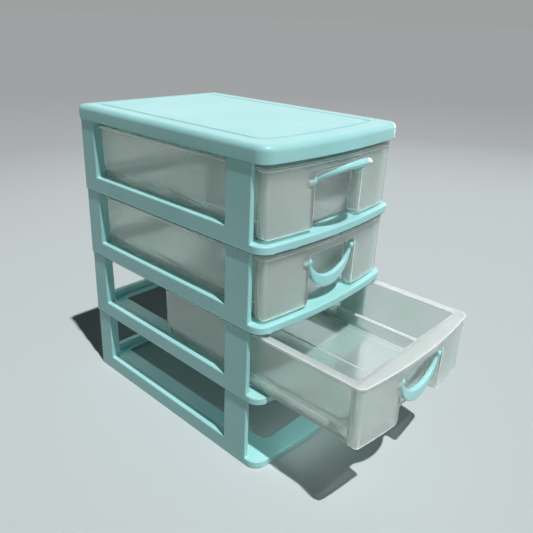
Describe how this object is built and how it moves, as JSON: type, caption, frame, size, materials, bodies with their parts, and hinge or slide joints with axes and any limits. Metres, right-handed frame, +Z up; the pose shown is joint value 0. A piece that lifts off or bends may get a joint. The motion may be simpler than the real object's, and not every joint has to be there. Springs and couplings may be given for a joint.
{
  "type": "desktop drawer organizer",
  "caption": "Small stacking plastic desktop organizer: tier frames under a flat lid, frosted drawers that slide on shelf rings, each with a swinging bail handle.",
  "frame": {"origin": "middle of the overall box at table height, with one drawer drawn out as it stands at rest", "axes": "+X across the cabinet, -Y out of the drawers' fronts, +Z up"},
  "size_m": [0.128, 0.2542, 0.21],
  "materials": {
    "mint_pp": "satin moulded polypropylene, opaque mint",
    "frosted_pp": "frosted see-through moulded polypropylene",
    "aqua_handle": "glossy moulded plastic, pale aqua"
  },
  "bodies": {
    "cabinet": {"lid": "mint_pp", "frame_1": "mint_pp", "frame_2": "mint_pp", "frame_3": "mint_pp", "frame_4": "mint_pp"},
    "drawer_2": {"drawer_2": "frosted_pp"},
    "handle_2": {"handle_2": "aqua_handle"},
    "drawer_3": {"drawer_3": "frosted_pp"},
    "handle_3": {"handle_3": "aqua_handle"},
    "drawer_4": {"drawer_4": "frosted_pp"},
    "handle_4": {"handle_4": "aqua_handle"}
  },
  "joints": [
    {"name": "drawer_2_slide", "type": "slide", "parent": "cabinet", "child": "drawer_2", "axis": [0, -1, 0], "range_m": [-0.071, 0.049]},
    {"name": "handle_2_hinge", "type": "hinge", "parent": "drawer_2", "child": "handle_2", "pos_m": [0, -0.12345, 0.0852], "axis": [-1, 0, 0], "range_deg": [0, 122]},
    {"name": "drawer_3_slide", "type": "slide", "parent": "cabinet", "child": "drawer_3", "axis": [0, -1, 0], "range_m": [0, 0.12]},
    {"name": "handle_3_hinge", "type": "hinge", "parent": "drawer_3", "child": "handle_3", "pos_m": [0, -0.05245, 0.1352], "axis": [-1, 0, 0], "range_deg": [0, 122]},
    {"name": "drawer_4_slide", "type": "slide", "parent": "cabinet", "child": "drawer_4", "axis": [0, -1, 0], "range_m": [0, 0.12]},
    {"name": "handle_4_hinge", "type": "hinge", "parent": "drawer_4", "child": "handle_4", "pos_m": [0, -0.05245, 0.1852], "axis": [-1, 0, 0], "range_deg": [-122, 0]}
  ]
}
